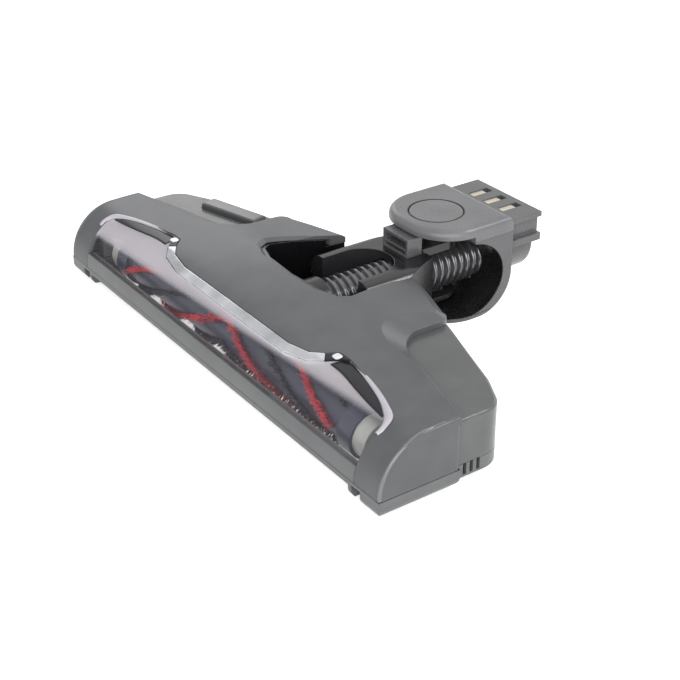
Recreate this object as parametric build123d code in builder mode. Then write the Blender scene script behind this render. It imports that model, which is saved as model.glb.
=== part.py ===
from build123d import *
import os
from math import cos, radians, sin

os.makedirs("parts", exist_ok=True)

# Driving dimensions in millimetres; Y values are measured back from the front edge
BAR_WIDTH = 265.0
OVERALL_LENGTH = 178.0
FRONT = -OVERALL_LENGTH / 2
HALF_BAR = BAR_WIDTH / 2
BAR_DEPTH = 40.0
SEAM_Z = 9.0
DECK_Z = 30.2
SOLE_Z = 0.8
FRONT_R = 25.0
HUMP_RISE = 7.3
HUMP_EDGE_Z = 33.0
HUMP_CROWN_Z = 38.5
WALL = 2.0
WING_ROUND = 1.6
SOLE_ROUND = 4.0
GAP = 0.3
RUNNING_FIT = 0.05

# Windowed front
WINDOW_HALF = HALF_BAR - 16.8
OPENING_HALF = WINDOW_HALF + GAP
BUMPER_TOP = 16.5
BUMPER_WALL = 3.0
END_WALL = 2.5
END_ROUND = 2.0

# Brush roll, its bearings and its belt drive
ROLL_Y = 20.5
ROLL_Z = 15.5
CORE_R = 9.5
TIP_R = 14.2
CAP_R = 11.5
SHAFT_R = 2.5
BEARING_R = 6.0
END_SPACE = 6.5
BEARING_WIDTH = 4.0
BEARING_SPACE = 1.5
PULLEY_WIDTH = 7.0
PULLEY_SPACE = 4.5
CAP_WIDTH = 8.0
COLLAR_WIDTH = 9.0
SHAFT_HALF = HALF_BAR - END_SPACE
BEARING_OUT = SHAFT_HALF - 1.0
BEARING_IN = BEARING_OUT - BEARING_WIDTH
PULLEY_OUT = BEARING_IN - BEARING_SPACE
PULLEY_IN = PULLEY_OUT - PULLEY_WIDTH
CAP_END = PULLEY_IN - PULLEY_SPACE
CORE_HALF = CAP_END - CAP_WIDTH
BRISTLE_HALF = CORE_HALF - COLLAR_WIDTH
BELT_GATE = (PULLEY_IN - 3.5, PULLEY_OUT + 8.0)
ROLL_PULLEY_R = 8.0
MOTOR_PULLEY_R = 4.5
BELT_THICKNESS = 1.2
HOLDER_DEPTH = (12.0, 29.0)
MOUTH_HALF = HALF_BAR - 22.5
LIP_HALF = HALF_BAR - 20.5
MOUTH_DEPTH = (5.0, 36.0)
MOTOR_Y = 52.0
MOTOR_Z = 16.5
MOTOR_R = 10.5
MOTOR_LENGTH = 44.0
MOTOR_END = PULLEY_IN - 6.5
MOTOR_START = MOTOR_END - MOTOR_LENGTH
MOTOR_SHAFT_R = 1.5
ARMATURE_R = 7.0
MOUNT_THICKNESS = 2.5
MOUNT_LOW = 8.0
MOUNT_DEPTH = (44.0, 60.0)
RAIL_TOP = 14.0
BOARD_TOP = 15.6
BOARD_X = 24.5 - HALF_BAR
BOARD_LENGTH = 48.0

# Neck, swivel yoke and hose
PITCH_Y = 83.0
HOSE_Z = 19.0
HOSE_R = 11.0
HOSE_BORE = 9.2
SPIGOT_LENGTH = 20.0
YOKE_BACK = OVERALL_LENGTH - SPIGOT_LENGTH
YOKE_FRONT = YOKE_BACK - 46.0
SWIVEL_Y = YOKE_BACK - 26.5
COLLAR_BACK = SWIVEL_Y - 13.5
COLLAR_FRONT = COLLAR_BACK - 15.0
WAIST_START = COLLAR_BACK - 22.0
HOSE_SPLIT = COLLAR_BACK - 8.0
HOSE_BACK = YOKE_BACK - 6.0
HOSE_PITCH = 3.2
HOSE_RIDGE = 0.8
DUCT_STEP = 58.0
DUCT_BACK = 64.0
ARM_OUTER = 23.5
ARM_INNER = 14.5
ARM_FRONT = 75.0
NECK_BOTTOM = 6.0
NECK_TOP = 33.5
COLLAR_HALF = 15.5
PIN_R = 4.0
PIN_REACH = 31.8
TONGUE_R = 10.0
TONGUE_LOW = (4.9, 7.1)
TONGUE_HIGH = (31.5, 36.0)
YOKE_HALF = 26.6
CAP_SEAM_Z = 41.0
HEEL_R = 20.0
CAP_TOP = 48.5
CAP_UNDERCUT_Z = 43.6
SWIVEL_ROOM = 3.0
CABLE_BOX_HALF = 9.5
CABLE_BOX_DEPTH = (COLLAR_BACK - 11.0, COLLAR_BACK - 2.2)
CABLE_BOX_TOP = 42.8
YOKE_NOSE_R = 22.0
YOKE_EYE_Z = 21.0
YOKE_EYE = (21.0, 19.0)
YOKE_FLOOR = 2.0
CAP_ROUND = 3.5
BUTTON_DEPTH = 2.4
HUB_R = 7.0
BUTTON_R = 13.2
SPIGOT_HALF = 24.2
SPIGOT_TOP = 45.0
SPIGOT_LIP = 42.5
SPIGOT_WAIST = 21.5
SPIGOT_LOW = 30.0
SPIGOT_RIB = 33.7
CONTACT_X = (-11.0, 0.0, 11.0)
CONTACT_HALF = 2.4
CONTACT_LENGTH = 9.0
CONTACT_DEPTH = (YOKE_BACK + 4.5, YOKE_BACK + 4.5 + CONTACT_LENGTH)
CONTACT_SLOT_END = CONTACT_DEPTH[1] + 3.0
CONTACT_FLOOR = 43.2
CONTACT_TOP = 44.4
TUBE_Z = 26.5
TUBE_R = 18.5
TUBE_BORE = 15.0

# Wheels and rollers
WHEEL_R = 6.0
WHEEL_WIDTH = 6.0
WHEEL_X = 52.0
WHEEL_Y = 74.0
AXLE_R = 1.5
ROLLER_R = 3.0
ROLLER_WIDTH = 5.0
ROLLER_X = HALF_BAR - 15.5
ROLLER_Y = 6.5
ROLLER_Z = 3.2
ROLLER_POCKET = 3.0
CHEEK = 1.5
PAD_IN = HALF_BAR - 10.5
PAD_DEPTH = (12.0, 35.0)
WHEEL_WELL = 3.4
AXLE_HALF = 6.4

# Pedal on the left wing and the fasteners
PEDAL_TOP = 33.0
PEDAL_BOTTOM = 25.0
PEDAL_POST_TOP = 12.0
SPRING_R = 3.0
SPRING_WIRE = 0.5
SPRING_TURNS = 5
PEDAL_CENTRE = (44.5 - HALF_BAR, 70.5)
PEDAL_SIZE = (36.0, 9.0)
PEDAL_ANGLE = 16.0
SCREWS = [(14.5 - HALF_BAR, 50.0), (-44.0, 62.0), (44.0, 62.0), (66.0, 75.0)]
SCREW_R = 1.4
SCREW_HEAD_R = 2.6
BOSS_R = 3.2
SCREW_SEAT = 3.0
SCREW_TIP = 14.0
VENT_PLACES = (44.5, 48.0, 51.5)
VENT_HALF = 0.9
VENT_LOW = 3.4
VENT_IN = HALF_BAR - 7.5
WING_BOTTOM = 2.5


def fwd(y):
    """Model Y of a place measured back from the front edge."""
    return FRONT + y


def save(builder, name):
    """Label one finished piece and write its file."""
    builder.part.label = name
    export_step(builder.part, f"parts/{name}.step")


def front_profile(inset, back):
    """Filled side profile of the bar, its round front moved inward by inset."""
    radius = FRONT_R - inset
    with BuildSketch(Plane.YZ) as profile:
        with BuildLine():
            CenterArc((fwd(FRONT_R), SEAM_Z), radius, 90, 90)
            top = SEAM_Z + radius
            front, rear = fwd(inset), fwd(back)
            Polyline((front, SEAM_Z), (front, 0), (rear, 0), (rear, top), (fwd(FRONT_R), top))
        make_face()
    return profile.sketch


def hump_solid(inset):
    """Everything under the domed rear of the cover, lofted across the width."""
    with BuildPart() as solid:
        shoulder = HUMP_RISE * 0.55
        reach = HALF_BAR + 7.5
        for x, rise in [(-reach, 0), (-66, shoulder), (0, HUMP_RISE), (66, shoulder), (reach, 0)]:
            ridge = [(8, 26.6), (17, 32.6 + rise * 0.15), (29.5, 34.2 + rise * 0.47), (48, 34.2 + rise)]
            ridge += [(70, 33.7 + rise * 0.85), (104, 30.2 + rise * 0.4)]
            with BuildSketch(Plane.YZ.offset(x)):
                with BuildLine():
                    curve = Spline(*[(fwd(y), z - inset) for y, z in ridge])
                    Polyline(curve @ 1, (fwd(104), 2), (fwd(8), 2), curve @ 0)
                make_face()
        loft()
    return solid.part


def plan_prism(points, low, high, corner_fillets=()):
    """Prism over a plan outline given by its right half, mirrored to the left."""
    with BuildPart() as prism:
        with BuildSketch(Plane.XY.offset(low)) as plan:
            with BuildLine():
                Polyline(*[(x, fwd(y)) for x, y in points])
                mirror(about=Plane.YZ)
            make_face()
            for x, y, radius in corner_fillets:
                level = [v for v in plan.vertices() if abs(v.Y - fwd(y)) < 0.05]
                fillet([v for v in level if abs(abs(v.X) - x) < 0.05], radius)
        extrude(amount=high - low)
    return prism.part


def box_at(x, y, z, mode=Mode.ADD):
    """Box between the given limits, each a (low, high) pair; y runs back from the front edge."""
    centre = ((x[0] + x[1]) / 2, fwd((y[0] + y[1]) / 2), (z[0] + z[1]) / 2)
    with Locations(centre):
        Box(x[1] - x[0], y[1] - y[0], z[1] - z[0], mode=mode)


def rod_x(x, y, z, radius, mode=Mode.ADD):
    """Cylinder along X between x[0] and x[1]."""
    with Locations(((x[0] + x[1]) / 2, fwd(y), z)):
        Cylinder(radius, x[1] - x[0], rotation=(0, 90, 0), mode=mode)


def rod_y(x, y, z, radius, mode=Mode.ADD):
    """Cylinder along Y between y[0] and y[1]."""
    with Locations((x, fwd((y[0] + y[1]) / 2), z)):
        Cylinder(radius, y[1] - y[0], rotation=(90, 0, 0), mode=mode)


def rod_z(x, y, z, radius, mode=Mode.ADD):
    """Cylinder along Z between z[0] and z[1]."""
    with Locations((x, fwd(y), (z[0] + z[1]) / 2)):
        Cylinder(radius, z[1] - z[0], mode=mode)


def hump_plan(corners, height):
    """Plan of the hump at one height: straight runs with a hollow bend and a round rear corner."""
    places = [(x, fwd(y)) for x, y in corners]
    bar, bend_start, bend, bend_end = places[:4]
    turn_start, turn, turn_end, tail, tip = places[4:]
    with BuildSketch(Plane.XY.offset(height)) as plan:
        with BuildLine():
            Polyline((0, fwd(5)), (bar[0], fwd(5)), bar, bend_start)
            ThreePointArc(bend_start, bend, bend_end)
            Line(bend_end, turn_start)
            ThreePointArc(turn_start, turn, turn_end)
            Polyline(turn_end, tail, tip, (0, tip[1]))
            mirror(about=Plane.YZ)
        make_face()
    return plan.sketch


# Plan outlines, right half, as (x, distance from the front edge)
NOTCH = [(0, 48), (20, 49.5), (30, 53), (33, 57), (28, 99), (28, 110), (0, 110)]
NOTCH_BEVEL = [(0, 42), (22, 43.5), (35, 48), (39, 55), (31, 99), (31, 110), (0, 110)]
NOTCH_LINER = [(0, 46), (21, 47.5), (31.5, 51.4), (35.1, 56.4), (30, 99), (30, 110), (0, 110)]
HUMP = [(HALF_BAR, BAR_DEPTH), (84, 53.5), (71.5, 59.5), (66.5, 68), (66.5, 82)]
HUMP += [(65, 86.3), (60, 88), (46, 92.7), (28, 98)]
HUMP_TOP = [(HALF_BAR - 1.5, BAR_DEPTH - 1.5), (80, 46), (64, 51.5), (58, 62), (58, 76), (57, 79.6)]
HUMP_TOP += [(53, 81), (43, 85), (28, 90)]
WING_HALF = HALF_BAR - 2.5
WING_TURN = WING_HALF - 18
WING_FRONT = BAR_DEPTH - WALL
WING = [(0, WING_FRONT), (WING_HALF, WING_FRONT), (WING_HALF, 62), (WING_TURN, 71.2)]
WING += [(69.7, 85.4), (46, 92.5), (28, 97.5), (0, 97.5)]
WING_INSIDE = [(0, BAR_DEPTH), (WING_HALF - WALL, BAR_DEPTH), (WING_HALF - WALL, 54), (WING_HALF - 8, 62.8)]
WING_INSIDE += [(WING_TURN - 0.8, 69.2), (69, 83.2), (45.3, 90.3), (32.5, 94.2), (0, 94.2)]
WING_ROUNDS = [(WING_HALF, 62, 12), (WING_TURN, 71.2, 25)]
RIM_OUT = WINDOW_HALF - 7.7
RIM_IN = WINDOW_HALF - 27.7
COVER_EDGE = [(0, 17.2), (44, 17.4), (57, 19.6), (63, 23.6), (67, 28), (74, 28.4), (RIM_IN, 26.2)]
COVER_EDGE += [(RIM_OUT, 19.6), (OPENING_HALF, 15.5), (OPENING_HALF, -5), (0, -5)]
WINDOW_EDGE = [(0, 13), (46, 13.2), (60, 15.8), (66.5, 20.5), (70.5, 25.5), (75, 27.2), (RIM_IN, 25.5)]
WINDOW_EDGE += [(RIM_OUT, 19), (WINDOW_HALF, 15), (WINDOW_HALF, -5), (0, -5)]
STRIP = [(0, 13.3), (46, 13.5), (59.8, 16.1), (66, 20.7), (62.8, 23.2), (57, 19.2), (44, 17), (0, 16.9)]
LAMP = [(63, 23.2), (66.2, 20.9), (70.3, 25.8), (73.5, 27.3), (73.5, 28), (67.2, 27.6)]
SKIN = hump_solid(0)
SKIN_INSIDE = hump_solid(WALL)
UNDER_SKIN = hump_solid(WALL + GAP)

# Top cover: the rounded bar ends and the hump behind the window, one moulding
with BuildPart() as hump_side:
    extrude(hump_plan(HUMP, DECK_Z), amount=HUMP_EDGE_Z - DECK_Z)
hump_rim = hump_plan(HUMP, HUMP_EDGE_Z)
hump_ledge = hump_plan(HUMP_TOP, HUMP_CROWN_Z)
with BuildPart() as hump_slope:
    loft([hump_rim.face(), hump_ledge.face()], ruled=True)
with BuildPart() as hump_crown:
    extrude(hump_ledge, amount=12)
with BuildPart() as hump_inside:
    extrude(hump_plan(HUMP_TOP, DECK_Z - 1), amount=20)
    add(SKIN_INSIDE, mode=Mode.INTERSECT)
notch_cut = plan_prism(NOTCH, -1, 60)
with BuildPart() as notch_bevel:
    for outline, height in [(NOTCH, 37.0), (NOTCH_BEVEL, 44.0)]:
        with BuildSketch(Plane.XY.offset(height)):
            with BuildLine():
                Polyline(*[(x, fwd(y)) for x, y in outline])
                mirror(about=Plane.YZ)
            make_face()
    loft(ruled=True)
window_cut = plan_prism(COVER_EDGE, -1, 60)
bar_outside = front_profile(0, BAR_DEPTH)
bar_inside = front_profile(WALL, BAR_DEPTH + 1)
bumper_inside = front_profile(BUMPER_WALL, BAR_DEPTH + 1)
with BuildPart() as bar:
    extrude(bar_outside, amount=HALF_BAR, both=True)
    for end_face in (bar.faces().sort_by(Axis.X)[0], bar.faces().sort_by(Axis.X)[-1]):
        fillet([edge for edge in end_face.edges() if edge.center().Z > SEAM_Z + 1], END_ROUND)
with BuildPart() as top_cover:
    add(hump_side.part)
    add(hump_slope.part)
    add(hump_crown.part)
    add(SKIN, mode=Mode.INTERSECT)
    add(bar.part)
    extrude(bar_inside, amount=HALF_BAR - END_WALL, both=True, mode=Mode.SUBTRACT)
    add(hump_inside.part, mode=Mode.SUBTRACT)
    box_at((-200, 200), (-5, 200), (-1, SEAM_Z), mode=Mode.SUBTRACT)
    add(notch_cut, mode=Mode.SUBTRACT)
    add(notch_bevel.part, mode=Mode.SUBTRACT)
    add(window_cut, mode=Mode.SUBTRACT)
save(top_cover, "top_cover")

# Curved window and the bumper bar below it share the bar's front profile
window_plan = plan_prism(WINDOW_EDGE, BUMPER_TOP, 60)
with BuildPart() as window:
    extrude(bar_outside, amount=WINDOW_HALF, both=True)
    extrude(bar_inside, amount=WINDOW_HALF + 1, both=True, mode=Mode.SUBTRACT)
    add(window_plan, mode=Mode.INTERSECT)
save(window, "window")

with BuildPart() as front_bumper:
    extrude(bar_outside, amount=WINDOW_HALF, both=True)
    extrude(bumper_inside, amount=WINDOW_HALF + 1, both=True, mode=Mode.SUBTRACT)
    box_at((-200, 200), (-5, 12), (SEAM_Z, BUMPER_TOP), mode=Mode.INTERSECT)
save(front_bumper, "front_bumper")

# Light strip between window and cover, with a lamp block at each end
with BuildPart() as light_strip:
    add(plan_prism(STRIP, 20, 60))
    add(SKIN, mode=Mode.INTERSECT)
    add(UNDER_SKIN, mode=Mode.SUBTRACT)
save(light_strip, "light_strip")

for name, side in [("lamp_left", -1), ("lamp_right", 1)]:
    with BuildPart() as lamp:
        with BuildSketch(Plane.XY.offset(20)):
            with BuildLine():
                Polyline(*[(side * x, fwd(y)) for x, y in LAMP], close=True)
            make_face()
        extrude(amount=30)
        add(SKIN, mode=Mode.INTERSECT)
        add(UNDER_SKIN, mode=Mode.SUBTRACT)
    save(lamp, name)

# Middle housing: deck and wing walls, with the dark liner of the notch
wing_block = plan_prism(WING, SEAM_Z, DECK_Z, WING_ROUNDS)
wing_room = plan_prism(WING_INSIDE, SEAM_Z - 1, DECK_Z - WALL)
liner_block = plan_prism(NOTCH_LINER, SEAM_Z, 60)
with BuildPart() as liner_top:
    add(UNDER_SKIN)
    add(liner_block, mode=Mode.INTERSECT)
    box_at((-60, 60), (40, 87), (DECK_Z - 1, 60), mode=Mode.INTERSECT)
with BuildPart() as liner_wall:
    add(liner_block)
    box_at((-60, 60), (40, 97.5), (SEAM_Z, DECK_Z), mode=Mode.INTERSECT)
with BuildPart() as mid_housing:
    add(wing_block)
    fillet(mid_housing.faces().sort_by(Axis.Z)[-1].edges(), WING_ROUND)
    add(wing_room, mode=Mode.SUBTRACT)
    add(liner_wall.part)
    add(liner_top.part)
    for x, y in SCREWS:
        rod_z(x, y, (SEAM_Z - 4.2, DECK_Z - 1), BOSS_R)
        rod_z(x, y, (0, 20), SCREW_R, mode=Mode.SUBTRACT)
    add(notch_cut, mode=Mode.SUBTRACT)
    box_at(BELT_GATE, (37, 41), (0, DECK_Z - WALL), mode=Mode.SUBTRACT)
    rod_y(0, (37, 60), HOSE_Z, HOSE_R + WALL, mode=Mode.SUBTRACT)
    for side in (-1, 1):
        rod_x(sorted([side * 20, side * 40]), PITCH_Y, HOSE_Z, PIN_R, mode=Mode.SUBTRACT)
    pedal_x, pedal_y = PEDAL_CENTRE
    slot_length, slot_width = PEDAL_SIZE[0] + 2 * GAP, PEDAL_SIZE[1] + 2 * GAP
    with Locations((pedal_x, fwd(pedal_y), DECK_Z)):
        Box(slot_length, slot_width, 12, rotation=(0, 0, PEDAL_ANGLE), mode=Mode.SUBTRACT)
save(mid_housing, "mid_housing")

# Base tray with the brush opening, end feet, wheel wells and inner posts
wing_floor = plan_prism(WING, WING_BOTTOM, SEAM_Z, WING_ROUNDS)
wing_floor_room = plan_prism(WING_INSIDE, WING_BOTTOM + WALL, SEAM_Z + 1)
with BuildPart() as base_housing:
    box_at((-HALF_BAR, HALF_BAR), (0, BAR_DEPTH), (SOLE_Z, SEAM_Z))
    fillet(base_housing.faces().sort_by(Axis.Z)[0].edges(), SOLE_ROUND)
    tray_half = HALF_BAR - END_WALL
    tray_depth = (END_WALL, BAR_DEPTH - WALL)
    box_at((-tray_half, tray_half), tray_depth, (SOLE_Z + WALL, SEAM_Z + 1), mode=Mode.SUBTRACT)
    add(wing_floor)
    add(wing_floor_room, mode=Mode.SUBTRACT)
    box_at((-28, 28), (58, 99), (WING_BOTTOM, SEAM_Z + 1), mode=Mode.SUBTRACT)
    box_at((-26, 26), (58, 92), (SOLE_Z, WING_BOTTOM))
    box_at((-MOUTH_HALF, MOUTH_HALF), MOUTH_DEPTH, (-1, SEAM_Z + 1), mode=Mode.SUBTRACT)
    box_at((-LIP_HALF, LIP_HALF), (-1, 5), (-1, 6.4), mode=Mode.SUBTRACT)
    box_at(BELT_GATE, (36, 42), (5, SEAM_Z + 1), mode=Mode.SUBTRACT)
    for side in (-1, 1):
        holder = sorted([side * (BEARING_IN - GAP), side * (BEARING_OUT + GAP)])
        box_at(holder, HOLDER_DEPTH, (SOLE_Z + 1, ROLL_Z + 3))
        seat = sorted([side * BEARING_IN, side * BEARING_OUT])
        rod_x(seat, ROLL_Y, ROLL_Z, BEARING_R, mode=Mode.SUBTRACT)
        clear = sorted([side * (BEARING_IN - 1), side * (BEARING_OUT + 2)])
        rod_x(clear, ROLL_Y, ROLL_Z, SHAFT_R + 1, mode=Mode.SUBTRACT)
        pocket = sorted([side * (ROLLER_X - ROLLER_POCKET), side * (ROLLER_X + ROLLER_POCKET)])
        box_at(pocket, (-1, 11), (-1, 7.2), mode=Mode.SUBTRACT)
        for middle in (ROLLER_X - ROLLER_POCKET - CHEEK / 2, ROLLER_X + ROLLER_POCKET + CHEEK / 2):
            cheek = sorted([side * (middle - CHEEK / 2), side * (middle + CHEEK / 2)])
            box_at(cheek, (2, 11), (SOLE_Z, 6.5))
        clear = sorted([side * (ROLLER_X - 7), side * (ROLLER_X + 7)])
        rod_x(clear, ROLLER_Y, ROLLER_Z, AXLE_R / 2, mode=Mode.SUBTRACT)
        well = sorted([side * (WHEEL_X - WHEEL_WELL), side * (WHEEL_X + WHEEL_WELL)])
        box_at(well, (WHEEL_Y - 7, WHEEL_Y + 7), (0, 5), mode=Mode.SUBTRACT)
        for inner, outer in [(-AXLE_HALF, -WHEEL_WELL), (WHEEL_WELL, AXLE_HALF)]:
            cheek = sorted([side * (WHEEL_X + inner), side * (WHEEL_X + outer)])
            box_at(cheek, (WHEEL_Y - 4, WHEEL_Y + 4), (WING_BOTTOM, SEAM_Z))
        clear = sorted([side * (WHEEL_X - 8), side * (WHEEL_X + 8)])
        rod_x(clear, WHEEL_Y, WHEEL_R, AXLE_R, mode=Mode.SUBTRACT)
        for y in VENT_PLACES:
            vent = sorted([side * VENT_IN, side * HALF_BAR])
            box_at(vent, (y - VENT_HALF, y + VENT_HALF), (VENT_LOW, SEAM_Z + 1), mode=Mode.SUBTRACT)
    for x, y in SCREWS:
        rod_z(x, y, (0, 10), SCREW_R + RUNNING_FIT, mode=Mode.SUBTRACT)
        rod_z(x, y, (0, SCREW_SEAT), SCREW_HEAD_R + RUNNING_FIT, mode=Mode.SUBTRACT)
    rod_z(pedal_x, pedal_y, (4, PEDAL_POST_TOP), 4)
    for x in (BOARD_X + 4, BOARD_X + BOARD_LENGTH - 4):
        box_at((x - 2, x + 2), (46, 58), (4, RAIL_TOP))
    box_at((MOTOR_END + 1, MOTOR_END + MOUNT_THICKNESS + 1), MOUNT_DEPTH, (4, MOUNT_LOW))
save(base_housing, "base_housing")

# Brush roll: core, end caps, shaft, drive pulley and helical bristle rows
with BuildPart() as roller_core:
    rod_x((-CORE_HALF, CORE_HALF), ROLL_Y, ROLL_Z, CORE_R)
    for side in (-1, 1):
        rod_x(sorted([side * BRISTLE_HALF, side * CORE_HALF]), ROLL_Y, ROLL_Z, CAP_R)
    rod_x((-CORE_HALF, CORE_HALF), ROLL_Y, ROLL_Z, SHAFT_R, mode=Mode.SUBTRACT)
save(roller_core, "roller_core")

for name, side in [("roller_cap_left", -1), ("roller_cap_right", 1)]:
    with BuildPart() as roller_cap:
        rod_x(sorted([side * CORE_HALF, side * CAP_END]), ROLL_Y, ROLL_Z, CAP_R - 1.5)
        rod_x(sorted([side * CORE_HALF, side * CAP_END]), ROLL_Y, ROLL_Z, SHAFT_R, mode=Mode.SUBTRACT)
    save(roller_cap, name)

with BuildPart() as roller_shaft:
    rod_x((-SHAFT_HALF, SHAFT_HALF), ROLL_Y, ROLL_Z, SHAFT_R)
save(roller_shaft, "roller_shaft")

TUFT_STEP = 5.0
TUFT_COUNT = int(2 * (BRISTLE_HALF - 3) / TUFT_STEP)
TWIST_PER_MM = 2.0
TUFT_ROOT = 0.5
TUFT_LENGTH = 3.6
TUFT_WIDTH = 1.6


def bristle_row(name, start_angles, tip):
    """Radial tufts along helical lines on the core, twisted opposite ways from the middle."""
    places = []
    reach = tip - CORE_R + TUFT_ROOT
    middle = CORE_R - TUFT_ROOT + reach / 2
    for start in start_angles:
        for index in range(TUFT_COUNT + 1):
            x = -(BRISTLE_HALF - 3) + index * TUFT_STEP
            angle = start + TWIST_PER_MM * abs(x)
            y = ROLL_Y + middle * cos(radians(angle))
            z = ROLL_Z + middle * sin(radians(angle))
            places.append(Location((x, fwd(y), z), (angle, 0, 0)))
    with BuildPart() as row:
        with Locations(*places):
            Box(TUFT_LENGTH, reach, TUFT_WIDTH)
    save(row, name)


bristle_row("bristles_red", (0, 120, 240), TIP_R)
bristle_row("bristles_dark", (60, 180, 300), TIP_R - 1.2)

for name, side in [("bearing_left", -1), ("bearing_right", 1)]:
    with BuildPart() as bearing:
        rod_x(sorted([side * BEARING_IN, side * BEARING_OUT]), ROLL_Y, ROLL_Z, BEARING_R)
        bore = SHAFT_R + RUNNING_FIT
        rod_x(sorted([side * BEARING_IN, side * BEARING_OUT]), ROLL_Y, ROLL_Z, bore, mode=Mode.SUBTRACT)
    save(bearing, name)


def pulley(name, y, z, radius, bore):
    """Flanged belt pulley on an X shaft in the drive plane."""
    with BuildPart() as wheel:
        rod_x((PULLEY_IN, PULLEY_OUT), y, z, radius)
        rod_x((PULLEY_IN - 1, PULLEY_IN), y, z, radius + 1.5)
        rod_x((PULLEY_OUT, PULLEY_OUT + 0.6), y, z, radius + 1.5)
        rod_x((PULLEY_IN - 2, PULLEY_OUT + 2), y, z, bore, mode=Mode.SUBTRACT)
    save(wheel, name)


pulley("roller_pulley", ROLL_Y, ROLL_Z, ROLL_PULLEY_R, SHAFT_R)
pulley("motor_pulley", MOTOR_Y, MOTOR_Z, MOTOR_PULLEY_R, MOTOR_SHAFT_R)


def belt_loop(extra):
    """Area inside a loop that runs round both pulleys at a distance from them."""
    with BuildSketch(Plane.YZ.offset(PULLEY_IN + GAP)) as loop:
        with Locations((fwd(ROLL_Y), ROLL_Z)):
            Circle(ROLL_PULLEY_R + extra)
        with Locations((fwd(MOTOR_Y), MOTOR_Z)):
            Circle(MOTOR_PULLEY_R + extra)
        make_hull()
    return loop.sketch


belt_outside = belt_loop(GAP + BELT_THICKNESS)
belt_inside = belt_loop(GAP)
with BuildPart() as belt:
    extrude(belt_outside, amount=PULLEY_OUT - PULLEY_IN - 2 * GAP)
    extrude(belt_inside, amount=PULLEY_OUT - PULLEY_IN - 2 * GAP, mode=Mode.SUBTRACT)
save(belt, "belt")

# Motor in the right wing
with BuildPart() as motor_can:
    rod_x((MOTOR_START, MOTOR_END), MOTOR_Y, MOTOR_Z, MOTOR_R)
    rod_x((MOTOR_START + WALL, MOTOR_END - WALL), MOTOR_Y, MOTOR_Z, ARMATURE_R + 1, mode=Mode.SUBTRACT)
    rod_x((MOTOR_END - 12, MOTOR_END), MOTOR_Y, MOTOR_Z, MOTOR_SHAFT_R + RUNNING_FIT, mode=Mode.SUBTRACT)
save(motor_can, "motor_can")

with BuildPart() as motor_shaft:
    rod_x((MOTOR_START + WALL + GAP, PULLEY_OUT + 0.6), MOTOR_Y, MOTOR_Z, MOTOR_SHAFT_R)
    rod_x((MOTOR_START + 2 * WALL, MOTOR_END - 2 * WALL), MOTOR_Y, MOTOR_Z, ARMATURE_R)
save(motor_shaft, "motor_shaft")

with BuildPart() as motor_mount:
    box_at((MOTOR_END, MOTOR_END + MOUNT_THICKNESS), MOUNT_DEPTH, (MOUNT_LOW, 27))
    rod_x((MOTOR_END - 1, MOTOR_END + 4), MOTOR_Y, MOTOR_Z, MOTOR_SHAFT_R + 2, mode=Mode.SUBTRACT)
save(motor_mount, "motor_mount")

# Control board in the left wing, on two rails of the base
with BuildPart() as control_board:
    box_at((BOARD_X, BOARD_X + BOARD_LENGTH), (44, 60), (RAIL_TOP, BOARD_TOP))
    box_at((BOARD_X + 8, BOARD_X + 20), (48, 56), (BOARD_TOP, BOARD_TOP + 3.4))
    box_at((BOARD_X + 28, BOARD_X + 36), (48, 55), (BOARD_TOP, BOARD_TOP + 2.4))
save(control_board, "control_board")

# Suction duct from the brush chamber to the hose
with BuildPart() as suction_duct:
    rod_y(0, (BAR_DEPTH, DUCT_BACK), HOSE_Z, HOSE_R + WALL)
    rod_y(0, (BAR_DEPTH - 1, DUCT_BACK + 1), HOSE_Z, HOSE_BORE, mode=Mode.SUBTRACT)
    rod_y(0, (DUCT_STEP, DUCT_BACK + 1), HOSE_Z, HOSE_R + RUNNING_FIT, mode=Mode.SUBTRACT)
save(suction_duct, "suction_duct")


def hose(name, start, end):
    """Corrugated tube along Y with rounded-off ridges."""
    pitch = HOSE_PITCH
    valley = HOSE_Z + HOSE_R - HOSE_RIDGE
    ridges = int((end - start - 2) / pitch)
    first = start + (end - start - ridges * pitch) / 2
    with BuildPart() as tube:
        with BuildSketch(Plane.YZ):
            with BuildLine():
                outline = [(fwd(start), HOSE_Z + HOSE_BORE), (fwd(start), valley)]
                for index in range(ridges):
                    left = fwd(first + index * pitch)
                    outline.append((left + 0.4, valley))
                    outline.append((left + 1.0, HOSE_Z + HOSE_R))
                    outline.append((left + 2.2, HOSE_Z + HOSE_R))
                    outline.append((left + 2.8, valley))
                outline += [(fwd(end), valley), (fwd(end), HOSE_Z + HOSE_BORE)]
                Polyline(*outline, close=True)
            make_face()
        revolve(axis=Axis((0, 0, HOSE_Z), (0, 1, 0)))
    save(tube, name)


hose("hose_front", DUCT_STEP + GAP, HOSE_SPLIT - GAP)
hose("hose_rear", HOSE_SPLIT, HOSE_BACK)

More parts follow.
